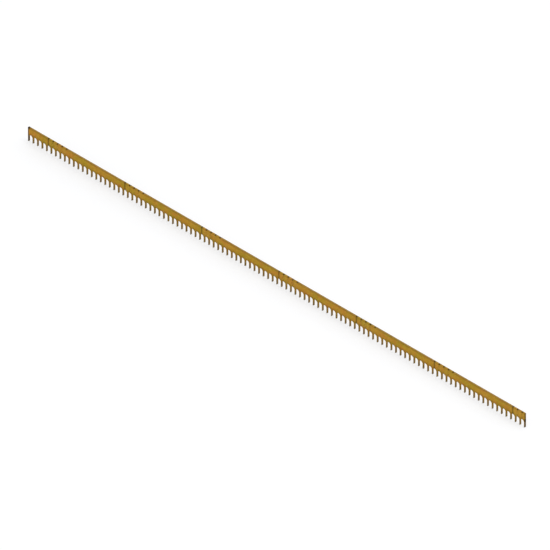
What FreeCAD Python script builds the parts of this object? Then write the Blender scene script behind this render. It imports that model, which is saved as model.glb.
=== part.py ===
import FreeCAD, Part
import math
import os

# A sectional brass comb rack: a thin straight bar with long slender teeth along its lower
# edge. It is made of sections that are half-lapped end to end, each lap being held by a
# row of flush rivets.
#
# Row frame, millimetres: X runs along the rack, +Z is up and the teeth point down (-Z).
# The rack's front face looks along -Y. The origin lies on the flat back face, at the
# middle of the length and halfway up the plain bar above the teeth.

# ---- driving dimensions -------------------------------------------------------------

MODULE = 3.0
PITCH = math.pi * MODULE
TOOTH_COUNT = 110
FIRST_SECTION_TEETH = 5
FULL_SECTION_TEETH = 17

THICKNESS = 3.0
BAR_HEIGHT = 12.6
TOOTH_LENGTH = 12.0
TOOTH_WIDTH_ROOT = 1.6
TOOTH_WIDTH_TIP = 1.35
ROOT_FILLET = 3.4
TIP_ROUND = 0.35
EDGE_BREAK = 0.15

# half-lap joints between the sections
LAP_PITCHES = 4
TONGUE_THICKNESS = 1.5
LAP_CLEARANCE = 0.05
JOINT_GAP = 0.2
JOINT_CHAMFER = 0.5

# rivets with a countersunk flush head on both faces
RIVET_RADIUS = 1.25
RIVET_HEAD_RADIUS = 2.1
RIVET_HEAD_DEPTH = 0.7
RIVET_CLEARANCE = 0.03

# index lines scribed across every lap, one pitch apart, which the rivets sit on
TOP_LINE_WIDTH = 1.2
TOP_LINE_DEPTH = 0.6
FRONT_LINE_WIDTH = 0.3
FRONT_LINE_DEPTH = 0.12

# ---- derived sizes ------------------------------------------------------------------

HALF_SPAN = 0.5 * (TOOTH_COUNT - 1) * PITCH
BAR_END = HALF_SPAN + 0.5 * TOOTH_WIDTH_ROOT
BAR_TOP = 0.5 * BAR_HEIGHT
BAR_BOTTOM = -0.5 * BAR_HEIGHT
FRONT = -THICKNESS
LAP_PLANE = -TONGUE_THICKNESS
FLANK_ANGLE = math.atan(0.5 * (TOOTH_WIDTH_ROOT - TOOTH_WIDTH_TIP) / TOOTH_LENGTH)
CUTTER_MARGIN = 1.0
TOUCH = 1e-6


# ---- where things are ---------------------------------------------------------------


def tooth_x(index):
    """X of the centre of tooth `index`, counted from 0 at the -X end."""
    return index * PITCH - HALF_SPAN


def section_tooth_ranges():
    """First and one-past-last tooth of every section, from the -X end."""
    ranges = []
    start = 0
    count = FIRST_SECTION_TEETH
    while start < TOOTH_COUNT:
        stop = min(start + count, TOOTH_COUNT)
        ranges.append((start, stop))
        start = stop
        count = FULL_SECTION_TEETH
    return ranges


def joint_x(next_tooth):
    """X of the joint line just before tooth `next_tooth`, halfway between two teeth."""
    return tooth_x(next_tooth) - 0.5 * PITCH


def lap_end_x(next_tooth):
    """X where the lap that starts at the joint before `next_tooth` ends."""
    return min(joint_x(next_tooth) + LAP_PITCHES * PITCH, BAR_END)


def index_line_xs(next_tooth):
    """X of every index line inside the lap, one pitch apart from the joint line on."""
    xs = []
    for step in range(1, LAP_PITCHES):
        x = joint_x(next_tooth) + step * PITCH
        if x < lap_end_x(next_tooth) - RIVET_HEAD_RADIUS:
            xs.append(x)
    return xs


# ---- small geometry helpers -----------------------------------------------------------


def in_face(x, z):
    """A point on the front face's plane."""
    return FreeCAD.Vector(x, FRONT, z)


def block(x0, x1, y0, y1, z0, z1):
    return Part.makeBox(x1 - x0, y1 - y0, z1 - z0, FreeCAD.Vector(x0, y0, z0))


def prism(corners, travel):
    """A straight prism over a flat polygon of corner vectors."""
    outline = Part.makePolygon(corners + [corners[0]])
    return Part.Face(outline).extrude(travel)


def outline_edges(shape, *planes):
    """The shape's edges that lie in one of the planes Y = value."""
    found = []
    for edge in shape.Edges:
        limits = edge.BoundBox
        if any(abs(limits.YMin - y) < TOUCH and abs(limits.YMax - y) < TOUCH for y in planes):
            found.append(edge)
    return found


def arc(start, middle, end):
    return Part.Arc(start, middle, end).toShape()


def line(start, end):
    return Part.LineSegment(start, end).toShape()


# ---- one tooth's outline ----------------------------------------------------------------


def flank_points(side):
    """Fillet and tip-rounding points of one flank, relative to the tooth's root centre.

    `side` is +1 for the +X flank and -1 for the other. Points run from the bar's
    underside down to the flat of the tip, as (x, z) offsets.
    """
    nx = math.cos(FLANK_ANGLE)
    nz = -math.sin(FLANK_ANGLE)
    half_root = 0.5 * TOOTH_WIDTH_ROOT

    fillet_x = half_root + ROOT_FILLET * (1.0 + nz) / nx
    fillet_z = -ROOT_FILLET
    tip_x = half_root + (-TIP_ROUND + (TOOTH_LENGTH - TIP_ROUND) * nz) / nx
    tip_z = TIP_ROUND - TOOTH_LENGTH

    root_reach = ROOT_FILLET / math.hypot(nx, 1.0 - nz)
    tip_reach = TIP_ROUND / math.hypot(nx, nz - 1.0)
    points = [
        (fillet_x, 0.0),
        (fillet_x - root_reach * nx, fillet_z + root_reach * (1.0 - nz)),
        (fillet_x - ROOT_FILLET * nx, fillet_z - ROOT_FILLET * nz),
        (tip_x + TIP_ROUND * nx, tip_z + TIP_ROUND * nz),
        (tip_x + tip_reach * nx, tip_z + tip_reach * (nz - 1.0)),
        (tip_x, -TOOTH_LENGTH),
    ]
    return [(side * x, z) for x, z in points]


def tooth_edges(centre_x, left_limit, right_limit):
    """Edges of one tooth, from its -X root to its +X root, and its two end points.

    A root fillet that would pass the end of the bar is left out, so that the end
    tooth's outer flank runs straight up into the end of the bar.
    """

    def place(offset):
        return in_face(centre_x + offset[0], BAR_BOTTOM + offset[1])

    left = [place(p) for p in flank_points(-1)]
    right = [place(p) for p in flank_points(1)]
    edges = []

    if left[0].x > left_limit:
        start = left[0]
        edges.append(arc(left[0], left[1], left[2]))
        edges.append(line(left[2], left[3]))
    else:
        start = in_face(left_limit, BAR_BOTTOM)
        edges.append(line(start, left[3]))

    edges.append(arc(left[3], left[4], left[5]))
    edges.append(line(left[5], right[5]))
    edges.append(arc(right[5], right[4], right[3]))

    if right[0].x < right_limit:
        end = right[0]
        edges.append(line(right[3], right[2]))
        edges.append(arc(right[2], right[1], right[0]))
    else:
        end = in_face(right_limit, BAR_BOTTOM)
        edges.append(line(right[3], end))

    return edges, start, end


def comb_plate(first_tooth, stop_tooth, left, right):
    """Full-thickness bar from X `left` to `right` with its row of teeth."""
    edges = []
    cursor = in_face(left, BAR_BOTTOM)
    for index in range(first_tooth, stop_tooth):
        tooth, start, end = tooth_edges(tooth_x(index), left, right)
        if start.distanceToPoint(cursor) > TOUCH:
            edges.append(line(cursor, start))
        edges.extend(tooth)
        cursor = end
    corners = [
        in_face(right, BAR_BOTTOM),
        in_face(right, BAR_TOP),
        in_face(left, BAR_TOP),
        in_face(left, BAR_BOTTOM),
    ]
    if cursor.distanceToPoint(corners[0]) > TOUCH:
        edges.append(line(cursor, corners[0]))
    for start, end in zip(corners, corners[1:]):
        edges.append(line(start, end))
    outline = Part.Wire(edges)
    plate = Part.Face(outline).extrude(FreeCAD.Vector(0.0, THICKNESS, 0.0))
    return plate.makeChamfer(EDGE_BREAK, outline_edges(plate, FRONT, 0.0))


# ---- rivets ---------------------------------------------------------------------------


def rivet_shape(x, clearance):
    """A double countersunk rivet through the lap; `clearance` grows it into its hole."""
    shank = RIVET_RADIUS + clearance
    head = RIVET_HEAD_RADIUS + clearance
    outline = [
        FreeCAD.Vector(0.0, FRONT, 0.0),
        FreeCAD.Vector(head, FRONT, 0.0),
        FreeCAD.Vector(shank, FRONT + RIVET_HEAD_DEPTH, 0.0),
        FreeCAD.Vector(shank, -RIVET_HEAD_DEPTH, 0.0),
        FreeCAD.Vector(head, 0.0, 0.0),
        FreeCAD.Vector(0.0, 0.0, 0.0),
    ]
    half_section = Part.Face(Part.makePolygon(outline + [outline[0]]))
    solid = half_section.revolve(FreeCAD.Vector(0, 0, 0), FreeCAD.Vector(0, 1, 0), 360.0)
    solid.translate(FreeCAD.Vector(x, 0.0, 0.0))
    return solid


# ---- cutters shared by the sections -------------------------------------------------------


def vee_across_top(x, half_width, depth):
    """V cutter over the top edge, running from the front face to the back face."""
    corners = [
        FreeCAD.Vector(x, FRONT - CUTTER_MARGIN, BAR_TOP - depth),
        FreeCAD.Vector(x + 2 * half_width, FRONT - CUTTER_MARGIN, BAR_TOP + depth),
        FreeCAD.Vector(x - 2 * half_width, FRONT - CUTTER_MARGIN, BAR_TOP + depth),
    ]
    return prism(corners, FreeCAD.Vector(0.0, THICKNESS + 2 * CUTTER_MARGIN, 0.0))


def vee_down_front(x, half_width, depth):
    """V cutter down the front face, over the whole height of the bar."""
    low = BAR_BOTTOM - CUTTER_MARGIN
    corners = [
        FreeCAD.Vector(x, FRONT + depth, low),
        FreeCAD.Vector(x + 2 * half_width, FRONT - depth, low),
        FreeCAD.Vector(x - 2 * half_width, FRONT - depth, low),
    ]
    return prism(corners, FreeCAD.Vector(0.0, 0.0, BAR_HEIGHT + 2 * CUTTER_MARGIN))


def joint_chamfers(x):
    """V cutters that break the edges on both sides of a joint line."""
    half_width = 0.5 * JOINT_GAP + JOINT_CHAMFER
    return [vee_across_top(x, half_width, half_width), vee_down_front(x, half_width, half_width)]


def lap_cutters(next_tooth):
    """Index lines and rivet holes of one lap, and the line across the top at its end."""
    cutters = []
    for x in index_line_xs(next_tooth):
        cutters.append(vee_across_top(x, 0.5 * TOP_LINE_WIDTH, TOP_LINE_DEPTH))
        cutters.append(vee_down_front(x, 0.5 * FRONT_LINE_WIDTH, FRONT_LINE_DEPTH))
        cutters.append(rivet_shape(x, RIVET_CLEARANCE))
    end = lap_end_x(next_tooth)
    if end < BAR_END:
        cutters.append(vee_across_top(end, 0.5 * TOP_LINE_WIDTH, TOP_LINE_DEPTH))
    return cutters


# ---- sections -----------------------------------------------------------------------------


def rebate(next_tooth):
    """Space in the back of a section's first teeth that takes the tongue before it."""
    start = joint_x(next_tooth) - CUTTER_MARGIN
    end = lap_end_x(next_tooth) + 0.5 * JOINT_GAP
    return block(start, end, LAP_PLANE, CUTTER_MARGIN, BAR_BOTTOM, BAR_TOP + CUTTER_MARGIN)


def tongue(next_tooth):
    """Thin end of a section that lies behind the next one, over the bar's height only."""
    start = joint_x(next_tooth) - PITCH
    end = lap_end_x(next_tooth)
    if end < BAR_END:
        end -= 0.5 * JOINT_GAP
    leaf = block(start, end, LAP_PLANE + LAP_CLEARANCE, 0.0, BAR_BOTTOM + LAP_CLEARANCE, BAR_TOP)
    return leaf.makeChamfer(EDGE_BREAK, outline_edges(leaf, 0.0))


def section(first_tooth, stop_tooth):
    is_first = first_tooth == 0
    is_last = stop_tooth == TOOTH_COUNT
    left = -BAR_END if is_first else joint_x(first_tooth) + 0.5 * JOINT_GAP
    right = BAR_END if is_last else joint_x(stop_tooth) - 0.5 * JOINT_GAP

    solid = comb_plate(first_tooth, stop_tooth, left, right)
    cutters = []
    if not is_last:
        solid = solid.fuse(tongue(stop_tooth)).removeSplitter()
        cutters += joint_chamfers(joint_x(stop_tooth))
        cutters += lap_cutters(stop_tooth)
    if not is_first:
        cutters.append(rebate(first_tooth))
        cutters += joint_chamfers(joint_x(first_tooth))
        cutters += lap_cutters(first_tooth)
    return solid.cut(cutters)


# ---- build and write --------------------------------------------------------------------


def build_nodes():
    nodes = {}
    ranges = section_tooth_ranges()
    for number, (first_tooth, stop_tooth) in enumerate(ranges, start=1):
        nodes["section_%d" % number] = section(first_tooth, stop_tooth)
    for number, (first_tooth, _) in enumerate(ranges[1:], start=1):
        for place, x in enumerate(index_line_xs(first_tooth), start=1):
            nodes["lap_%d_rivet_%d" % (number, place)] = rivet_shape(x, 0.0)
    return nodes


def main():
    os.makedirs("parts", exist_ok=True)
    for name, shape in build_nodes().items():
        solids = shape.Solids
        if len(solids) != 1 or not solids[0].isValid():
            raise RuntimeError("%s is not one valid solid" % name)
        solids[0].exportStep("parts/%s.step" % name)
        print(name, "%.1f mm3" % solids[0].Volume)


main()
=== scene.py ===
import math

import bpy
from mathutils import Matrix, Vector


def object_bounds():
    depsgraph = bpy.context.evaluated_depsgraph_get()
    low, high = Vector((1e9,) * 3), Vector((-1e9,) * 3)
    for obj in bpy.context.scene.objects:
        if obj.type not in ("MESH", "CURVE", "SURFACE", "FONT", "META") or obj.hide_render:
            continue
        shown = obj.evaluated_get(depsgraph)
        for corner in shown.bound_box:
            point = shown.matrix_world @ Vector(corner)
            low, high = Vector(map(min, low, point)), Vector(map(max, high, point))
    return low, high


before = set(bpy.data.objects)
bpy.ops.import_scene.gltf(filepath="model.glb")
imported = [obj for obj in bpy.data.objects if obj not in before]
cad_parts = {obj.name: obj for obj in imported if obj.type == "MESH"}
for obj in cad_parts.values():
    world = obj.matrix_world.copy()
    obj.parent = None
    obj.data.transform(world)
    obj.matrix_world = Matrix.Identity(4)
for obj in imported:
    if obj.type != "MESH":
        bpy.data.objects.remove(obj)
cad_low, cad_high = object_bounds()

# A sectional brass comb rack, standing on the tips of its teeth on a white studio floor.
# Metres, in the part's own frame: X along the rack, front face towards -Y, +Z up.

# ---- the object's own sizes ------------------------------------------------------------

MM = 0.001
PITCH = math.pi * 3.0 * MM
BAR_HEIGHT = 12.6 * MM
FIRST_SECTION_TEETH = 5
FULL_SECTION_TEETH = 17
LAP_PITCHES = 4
END_TO_TOOTH = 0.8 * MM

rack_top = cad_high.z
rack_tip = cad_low.z
bar_bottom = rack_top - BAR_HEIGHT
front_y = cad_low.y
back_y = cad_high.y


# ---- node-tree helper ------------------------------------------------------------------


class Graph:
    """Short calls for building one material's node tree."""

    def __init__(self, name):
        self.material = bpy.data.materials.new(name)
        self.material.use_nodes = True
        self.tree = self.material.node_tree
        self.tree.nodes.clear()
        self.output = self.tree.nodes.new("ShaderNodeOutputMaterial")

    def plug(self, socket, value):
        """Link a socket to a socket, or set a constant on the socket itself."""
        if isinstance(value, bpy.types.NodeSocket):
            self.tree.links.new(value, socket)
        else:
            socket.default_value = value

    def node(self, kind, **inputs):
        made = self.tree.nodes.new(kind)
        for name, value in inputs.items():
            self.plug(made.inputs[name.replace("_", " ")], value)
        return made

    def math(self, operation, a, b=0.0, clamp=False):
        made = self.tree.nodes.new("ShaderNodeMath")
        made.operation = operation
        made.use_clamp = clamp
        self.plug(made.inputs[0], a)
        self.plug(made.inputs[1], b)
        return made.outputs[0]

    def plus(self, a, b):
        return self.math("ADD", a, b)

    def minus(self, a, b):
        return self.math("SUBTRACT", a, b)

    def times(self, a, b):
        return self.math("MULTIPLY", a, b)

    def most(self, a, b):
        return self.math("MAXIMUM", a, b)

    def ease(self, value, start, stop):
        """0 where value is `start`, 1 where it is `stop`, smooth between."""
        made = self.tree.nodes.new("ShaderNodeMapRange")
        made.interpolation_type = "SMOOTHSTEP"
        self.plug(made.inputs["Value"], value)
        self.plug(made.inputs["From Min"], start)
        self.plug(made.inputs["From Max"], stop)
        return made.outputs["Result"]

    def noise(self, vector, grain, detail, roughness=0.5):
        """Soft noise; grain is its length along X, Y and Z in metres."""
        mapping = self.tree.nodes.new("ShaderNodeMapping")
        self.plug(mapping.inputs["Vector"], vector)
        mapping.inputs["Scale"].default_value = [1.0 / length for length in grain]
        made = self.node("ShaderNodeTexNoise", Scale=1.0, Detail=detail, Roughness=roughness)
        self.plug(made.inputs["Vector"], mapping.outputs["Vector"])
        return made.outputs["Fac"]

    def mix(self, factor, a, b):
        """The number a where factor is 0, b where it is 1."""
        made = self.tree.nodes.new("ShaderNodeMix")
        self.plug(made.inputs["Factor"], factor)
        self.plug(made.inputs["A"], a)
        self.plug(made.inputs["B"], b)
        return made.outputs["Result"]

    def blend(self, factor, a, b):
        """The colour a where factor is 0, b where it is 1."""
        made = self.tree.nodes.new("ShaderNodeMix")
        made.data_type = "RGBA"
        # sockets by number, because those for numbers and for colours share their names
        self.plug(made.inputs[0], factor)
        self.plug(made.inputs[6], a)
        self.plug(made.inputs[7], b)
        return made.outputs[2]


def rgb(red, green, blue):
    return (red, green, blue, 1.0)


# ---- brass -----------------------------------------------------------------------------

GOLD = rgb(0.440, 0.240, 0.034)
OLIVE = rgb(0.372, 0.246, 0.027)
ORANGE = rgb(0.470, 0.185, 0.038)
FRESH = rgb(0.560, 0.360, 0.075)
DULL = rgb(0.255, 0.145, 0.030)
# painted shade: this colour darkens the up-facing faces outside the laps
TOP_FACE_SHADE = rgb(0.285, 0.175, 0.058)
TOOTH_ROOT = rgb(0.460, 0.230, 0.022)
TOOTH_TIP = rgb(0.190, 0.140, 0.080)
# this colour darkens worn edges as grime, and is also the painted shade in the corners
GRIME_AND_SHADE = rgb(0.055, 0.037, 0.018)
# this colour fills the grooves and lines as oxide, and is also the painted shade on the sawn ends
DEEP_GRIME_AND_SHADE = rgb(0.018, 0.013, 0.008)
EDGE_GLINT = rgb(0.80, 0.62, 0.30)

# length of each kind of grain along X, Y and Z
DRIFT_GRAIN = (38 * MM, 30 * MM, 30 * MM)
PATCH_GRAIN = (11 * MM, 8 * MM, 8 * MM)
BRUSHED_GRAIN = (30 * MM, 0.07 * MM, 0.07 * MM)
ROLLED_GRAIN = (45 * MM, 0.45 * MM, 0.45 * MM)
FLANK_GRAIN = (0.1 * MM, 20 * MM, 0.09 * MM)
SCRATCH_GRAIN = (8 * MM, 3 * MM, 0.08 * MM)
MOTTLE_GRAIN = (3.0 * MM, 2.0 * MM, 2.0 * MM)
WEAR_GRAIN = (12 * MM, 6 * MM, 6 * MM)
SCRATCH_ANGLES = (24.0, -37.0)

# widths of the lines and of the stains beside them
EDGE_LINE_RADIUS = 0.45 * MM
VEE_HALF_WIDTH = 0.6 * MM
VEE_STAIN = 2.0 * MM
SCRIBED_HALF_WIDTH = 0.15 * MM
SEAM_HALF_WIDTH = 0.15 * MM

# how far the painted shade reaches from the sawn ends, and from the corners
FIRST_END_SHADE = 2.8 * MM
FIRST_CORNER_SHADE = 3.4 * MM
FIRST_CORNER_DEPTH = 4.5 * MM
LAST_END_SHADE = 1.2 * MM
LAST_FOOT_DEPTH = 3.5 * MM
TOP_CORNER_DEPTH = 2.2 * MM
LOW_CORNER_DEPTH = 4.9 * MM

# how strongly each thing shows, from 0 to 1
ORANGE_PATCHES = 0.66
ROLLED_SHARE = 0.35
JOINT_DARKNESS = 0.38
JOINT_STAIN_DARKNESS = 0.34
VEE_DARKNESS = 0.82
VEE_STAIN_DARKNESS = 0.66
SCRIBED_DARKNESS = 0.45
SEAM_DARKNESS = 0.8
# how strongly the painted shade darkens the up-facing faces
TOP_FACE_SHADE_COVER = 0.75
LAP_FRESHNESS = 0.13
SECTION_TOOTH_TARNISH = 0.85
# how dark the painted shade is along the bar's top and towards its foot
TOP_CORNER_SHADE = 0.46
LOW_CORNER_SHADE = 0.43
BRIGHT_GRAIN = 0.46
DULL_GRAIN = 0.42
DULL_MOTTLE = 0.42
BRIGHT_MOTTLE = 0.38
BRIGHT_SCRATCHES = 0.55
EDGE_GRIME = 0.75
# how dark the painted shade on the sawn ends is
END_SHADE = 0.92

# roughness and relief
POLISH = 0.12
GRAIN_ROUGHNESS = 0.36
MOTTLE_ROUGHNESS = 0.14
GRIME_AND_SHADE_ROUGHNESS = 0.25
MOTTLE_RELIEF = 0.4
SCRATCH_RELIEF = 0.6
RELIEF_STRENGTH = 0.6
RELIEF_DEPTH = 0.03 * MM


class Surface:
    """Where a point of the brass lies, as node sockets: along the rack, its height, how it faces."""

    def __init__(self, g):
        self.place = g.node("ShaderNodeTexCoord").outputs["Object"]
        axes = g.node("ShaderNodeSeparateXYZ", Vector=self.place)
        normal = g.node("ShaderNodeNewGeometry").outputs["Normal"]
        facing = g.node("ShaderNodeSeparateXYZ", Vector=normal)
        self.along = axes.outputs["X"]
        self.height = axes.outputs["Z"]
        self.up = facing.outputs["Z"]
        self.sideways = g.math("ABSOLUTE", facing.outputs["X"])
        self.below_top = g.minus(rack_top, self.height)
        self.in_front = g.math("LESS_THAN", axes.outputs["Y"], (front_y + back_y) / 2)
        self.behind = g.minus(1.0, self.in_front)

        first_joint = cad_low.x + END_TO_TOOTH + (FIRST_SECTION_TEETH - 0.5) * PITCH
        period = FULL_SECTION_TEETH * PITCH
        past_joint = g.minus(self.along, first_joint)
        past_tongue = g.minus(past_joint, LAP_PITCHES * PITCH)
        self.since_joint = g.math("FLOORED_MODULO", past_joint, period)
        self.to_joint = g.math("PINGPONG", past_joint, period / 2)
        self.to_tongue_end = g.math("PINGPONG", past_tongue, period / 2)
        self.to_pitch_line = g.math("PINGPONG", past_joint, PITCH / 2)
        self.on_lap = g.math("LESS_THAN", self.since_joint, LAP_PITCHES * PITCH)

        # a quarter pitch wider than the lap at both ends, so that the lines there are inside it
        margin = PITCH / 4
        widened = g.math("FLOORED_MODULO", g.plus(past_joint, margin), period)
        self.near_lap = g.math("LESS_THAN", widened, LAP_PITCHES * PITCH + 2 * margin)


def sharp_edges(g):
    """1 along every sharp edge, seam and groove, 0 on open faces."""
    rounded = g.tree.nodes.new("ShaderNodeBevel")
    rounded.samples = 6
    rounded.inputs["Radius"].default_value = EDGE_LINE_RADIUS
    turn = g.tree.nodes.new("ShaderNodeVectorMath")
    turn.operation = "DOT_PRODUCT"
    g.plug(turn.inputs[0], rounded.outputs["Normal"])
    g.plug(turn.inputs[1], g.node("ShaderNodeNewGeometry").outputs["Normal"])
    return g.ease(turn.outputs["Value"], 0.995, 0.93)


def alloy_colour(g, at):
    """The alloy's colour, which drifts over about four centimetres, with orange patches of about one."""
    drift = g.noise(at.place, DRIFT_GRAIN, 2.0)
    patch = g.noise(at.place, PATCH_GRAIN, 2.0)
    tint = g.blend(g.ease(drift, 0.42, 0.58), OLIVE, GOLD)
    return g.blend(g.times(g.ease(patch, 0.46, 0.66), ORANGE_PATCHES), tint, ORANGE)


def tool_marks(g, at):
    """Fine brushed lines along the faces, and across the tooth flanks, as one number around 0.5."""
    brushed = g.noise(at.place, BRUSHED_GRAIN, 3.0, 0.7)
    rolled = g.noise(at.place, ROLLED_GRAIN, 2.0)
    along = g.mix(ROLLED_SHARE, brushed, rolled)
    across = g.noise(at.place, FLANK_GRAIN, 3.0, 0.7)
    return g.mix(g.ease(at.sideways, 0.4, 0.7), along, across)


def scratches(g, at, angle):
    """1 along sparse fine scratches that lie at an angle to the bar, in degrees."""
    turned = g.tree.nodes.new("ShaderNodeVectorRotate")
    turned.rotation_type = "Y_AXIS"
    g.plug(turned.inputs["Vector"], at.place)
    turned.inputs["Angle"].default_value = math.radians(angle)
    line = g.noise(turned.outputs["Vector"], SCRATCH_GRAIN, 1.0)
    return g.ease(line, 0.72, 0.78)


def filled_lines(g, at):
    """How dark the grooves, vees, scribed lines and seams are, which hold black oxide and oil."""
    joint = g.times(g.ease(at.to_joint, VEE_HALF_WIDTH * 1.3, VEE_HALF_WIDTH), at.in_front)
    stain = g.times(g.ease(at.to_joint, VEE_STAIN * 1.4, VEE_HALF_WIDTH), at.in_front)
    joint = g.most(g.times(joint, JOINT_DARKNESS), g.times(stain, JOINT_STAIN_DARKNESS))

    from_vee = g.plus(at.to_pitch_line, at.below_top)
    across = g.most(
        g.times(g.ease(from_vee, VEE_HALF_WIDTH * 1.3, VEE_HALF_WIDTH), VEE_DARKNESS),
        g.times(g.ease(from_vee, VEE_STAIN * 1.2, VEE_HALF_WIDTH), VEE_STAIN_DARKNESS),
    )
    across = g.times(across, at.near_lap)

    scribed = g.ease(at.to_pitch_line, SCRIBED_HALF_WIDTH * 1.6, SCRIBED_HALF_WIDTH)
    inside_lap = g.math("LESS_THAN", at.since_joint, (LAP_PITCHES - 0.5) * PITCH)
    scribed = g.times(g.times(scribed, at.in_front), g.times(inside_lap, SCRIBED_DARKNESS))

    seam = g.ease(at.to_tongue_end, SEAM_HALF_WIDTH * 2, SEAM_HALF_WIDTH)
    seam = g.times(g.times(seam, at.behind), SEAM_DARKNESS)
    return g.most(g.most(joint, across), g.most(scribed, seam))


def shaded_ends(g, at):
    """Painted shade on the two sawn ends, strongest at the first one's top and the last one's foot."""
    from_first = g.minus(at.along, cad_low.x)
    near_top = g.ease(at.below_top, FIRST_CORNER_DEPTH, 1.0 * MM)
    reach = g.plus(g.times(near_top, FIRST_CORNER_SHADE), FIRST_END_SHADE)
    first = g.ease(from_first, reach, 1.3 * MM)
    first = g.times(first, g.plus(g.times(near_top, 0.3), 0.7))

    from_last = g.minus(cad_high.x, at.along)
    from_bar_foot = g.math("ABSOLUTE", g.minus(at.height, bar_bottom))
    near_foot = g.ease(from_bar_foot, LAST_FOOT_DEPTH, 1.5 * MM)
    last = g.ease(from_last, LAST_END_SHADE, 0.2 * MM)
    last = g.times(last, g.plus(g.times(near_foot, 0.5), 0.5))
    return g.most(first, last)


def tarnish(g, at, tint, tooth_strength):
    """Age on top of the alloy: brighter laps and brown teeth, and painted shade: darker up-facing faces
    outside the laps, and darker corners.
    """
    # painted shade: up-facing faces outside the laps are darkened
    top_shade = g.times(g.ease(at.up, 0.6, 0.9), g.minus(1.0, at.on_lap))
    tint = g.blend(g.times(top_shade, TOP_FACE_SHADE_COVER), tint, TOP_FACE_SHADE)
    tint = g.blend(g.times(at.on_lap, LAP_FRESHNESS), tint, FRESH)

    to_tip = g.ease(at.height, bar_bottom, rack_tip + 3.0 * MM)
    on_tooth = g.ease(at.height, bar_bottom + 0.8 * MM, bar_bottom - 2.5 * MM)
    brown = g.blend(to_tip, TOOTH_ROOT, TOOTH_TIP)
    tint = g.blend(g.times(on_tooth, tooth_strength), tint, brown)

    # painted shade: darker along the bar's top, and from above its foot down into the teeth, on faces
    # that don't face up
    top_corner = g.times(g.ease(at.below_top, TOP_CORNER_DEPTH, 0.6 * MM), TOP_CORNER_SHADE)
    low_corner = g.ease(at.height, bar_bottom + LOW_CORNER_DEPTH, bar_bottom + 0.5 * MM)
    low_corner = g.times(low_corner, LOW_CORNER_SHADE)
    corners = g.times(g.most(top_corner, low_corner), g.ease(at.up, 0.6, 0.4))
    return g.blend(corners, tint, GRIME_AND_SHADE)


def brass(name, tooth_strength, line_strength):
    """Aged brass; the strengths say how much of the tooth tarnish and of the lines it shows."""
    g = Graph(name)
    at = Surface(g)
    marks = tool_marks(g, at)
    scratch = g.most(*[scratches(g, at, angle) for angle in SCRATCH_ANGLES])
    mottle = g.noise(at.place, MOTTLE_GRAIN, 6.0, 0.65)

    tint = alloy_colour(g, at)
    tint = tarnish(g, at, tint, tooth_strength)
    tint = g.blend(g.times(g.ease(marks, 0.50, 0.66), BRIGHT_GRAIN), tint, FRESH)
    tint = g.blend(g.times(g.ease(marks, 0.50, 0.34), DULL_GRAIN), tint, DULL)
    tint = g.blend(g.times(g.ease(mottle, 0.50, 0.68), DULL_MOTTLE), tint, DULL)
    tint = g.blend(g.times(g.ease(mottle, 0.50, 0.32), BRIGHT_MOTTLE), tint, FRESH)
    tint = g.blend(g.times(scratch, BRIGHT_SCRATCHES), tint, FRESH)

    worn = g.noise(at.place, WEAR_GRAIN, 3.0)
    edges = g.times(sharp_edges(g), g.ease(worn, 0.30, 0.55))
    lines = g.times(filled_lines(g, at), line_strength)
    # painted shade on the sawn ends
    ends = shaded_ends(g, at)
    tint = g.blend(g.times(edges, EDGE_GRIME), tint, GRIME_AND_SHADE)
    tint = g.blend(g.times(ends, END_SHADE), tint, DEEP_GRIME_AND_SHADE)
    tint = g.blend(lines, tint, DEEP_GRIME_AND_SHADE)

    rough = g.plus(g.times(marks, GRAIN_ROUGHNESS), POLISH)
    rough = g.plus(rough, g.times(mottle, MOTTLE_ROUGHNESS))
    # rougher in the grime and oxide, and where the painted end shade is
    dirt_and_shade = g.most(edges, g.most(lines, ends))
    rough = g.math("ADD", rough, g.times(dirt_and_shade, GRIME_AND_SHADE_ROUGHNESS), clamp=True)

    relief = g.plus(marks, g.times(mottle, MOTTLE_RELIEF))
    relief = g.minus(relief, g.times(scratch, SCRATCH_RELIEF))
    bump = g.node("ShaderNodeBump", Strength=RELIEF_STRENGTH, Distance=RELIEF_DEPTH)
    g.plug(bump.inputs["Height"], relief)

    shader = g.tree.nodes.new("ShaderNodeBsdfPrincipled")
    shader.inputs["Metallic"].default_value = 1.0
    shader.inputs["Specular Tint"].default_value = EDGE_GLINT
    g.plug(shader.inputs["Base Color"], tint)
    g.plug(shader.inputs["Roughness"], rough)
    g.plug(shader.inputs["Normal"], bump.outputs["Normal"])
    g.plug(g.output.inputs["Surface"], shader.outputs["BSDF"])
    return g.material


def dress(node, material):
    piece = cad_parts[node]
    for place in piece.material_slots:
        place.material = material


section_brass = brass("section_brass_aged", tooth_strength=SECTION_TOOTH_TARNISH, line_strength=1.0)
rivet_brass = brass("rivet_brass_filed", tooth_strength=0.0, line_strength=0.0)
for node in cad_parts:
    dress(node, rivet_brass if "rivet" in node else section_brass)


# ---- floor, light and camera -----------------------------------------------------------

FLOOR_HALF_SIZE = 30.0
FLOOR_TONE = 0.44
FLOOR_TONE_DROP = 0.005
FLOOR_GRAIN = (0.4, 0.4, 0.4)
FLOOR_ROUGHNESS = 0.9
FLOOR_GLOW = 0.505
FLOOR_GLOW_COLOUR = rgb(0.970, 0.980, 1.0)
ROOM_STRENGTH = 1.06


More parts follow.
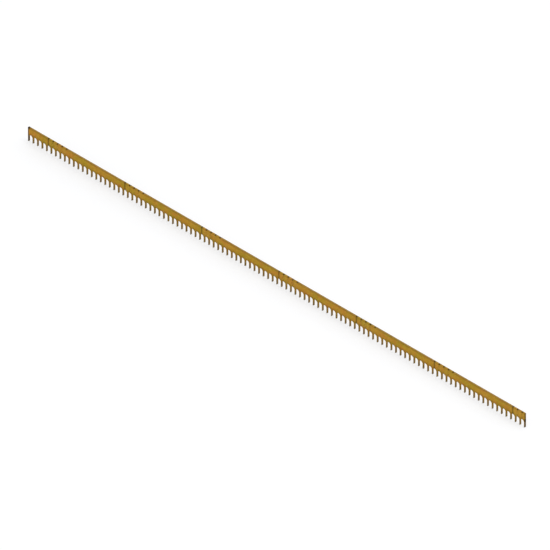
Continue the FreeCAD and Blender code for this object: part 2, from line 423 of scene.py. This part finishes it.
def floor():
    """A pale floor that also glows, as a light table does, so that shadows on it stay faint."""
    g = Graph("studio_floor")
    place = g.node("ShaderNodeTexCoord").outputs["Object"]
    mottle = g.noise(place, FLOOR_GRAIN, 2.0)
    darker = FLOOR_TONE - FLOOR_TONE_DROP
    tone = g.blend(mottle, rgb(FLOOR_TONE, FLOOR_TONE, FLOOR_TONE), rgb(darker, darker, darker))
    shader = g.node("ShaderNodeBsdfPrincipled", Roughness=FLOOR_ROUGHNESS)
    shader.inputs["Emission Color"].default_value = FLOOR_GLOW_COLOUR
    shader.inputs["Emission Strength"].default_value = FLOOR_GLOW
    g.plug(shader.inputs["Base Color"], tone)
    g.plug(g.output.inputs["Surface"], shader.outputs["BSDF"])

    mesh = bpy.data.meshes.new("studio_floor")
    reach = FLOOR_HALF_SIZE
    corners = ((-reach, -reach), (reach, -reach), (reach, reach), (-reach, reach))
    mesh.from_pydata([(x, y, rack_tip) for x, y in corners], [], [(0, 1, 2, 3)])
    mesh.materials.append(g.material)
    ground = bpy.data.objects.new("studio_floor", mesh)
    bpy.context.scene.collection.objects.link(ground)


def white_room():
    world = bpy.data.worlds.new("white_room")
    world.use_nodes = True
    backdrop = world.node_tree.nodes["Background"]
    backdrop.inputs["Color"].default_value = rgb(1.0, 1.0, 1.0)
    backdrop.inputs["Strength"].default_value = ROOM_STRENGTH
    bpy.context.scene.world = world


def soft_light(name, direction, distance, size, power):
    """A round soft light that faces the origin; metres and watts."""
    lamp = bpy.data.lights.new(name, "AREA")
    lamp.shape = "DISK"
    lamp.size = size
    lamp.energy = power
    piece = bpy.data.objects.new(name, lamp)
    away = Vector(direction).normalized()
    piece.location = away * distance
    piece.rotation_euler = away.to_track_quat("Z", "Y").to_euler()
    bpy.context.scene.collection.objects.link(piece)


# an isometric view through a very long lens
AZIMUTH = math.radians(45.0)
ELEVATION = math.asin(1.0 / math.sqrt(3.0))
LENS = 1650.0
SENSOR = 36.0
VIEW_WIDTH = 0.8056
AIM_UP = 1.135 * MM
NEAREST_SEEN = 1.0


def camera():
    """The camera, which aims a little above the rack's middle and takes in VIEW_WIDTH there."""
    data = bpy.data.cameras.new("camera")
    data.lens = LENS
    data.sensor_width = SENSOR
    distance = VIEW_WIDTH * LENS / SENSOR
    data.clip_start = NEAREST_SEEN
    data.clip_end = 3.0 * distance
    piece = bpy.data.objects.new("camera", data)
    back = Vector((
        math.sin(AZIMUTH) * math.cos(ELEVATION),
        -math.cos(AZIMUTH) * math.cos(ELEVATION),
        math.sin(ELEVATION),
    ))
    turn = back.to_track_quat("Z", "Y")
    up = turn @ Vector((0.0, 1.0, 0.0))
    aim = (cad_low + cad_high) / 2 + AIM_UP * up
    piece.location = aim + back * distance
    piece.rotation_euler = turn.to_euler()
    bpy.context.scene.collection.objects.link(piece)
    bpy.context.scene.camera = piece


floor()
white_room()
soft_light("key", direction=(0.5, 0.2, 1.0), distance=3.0, size=1.5, power=14.0)
camera()
bpy.context.scene.view_settings.view_transform = "Standard"
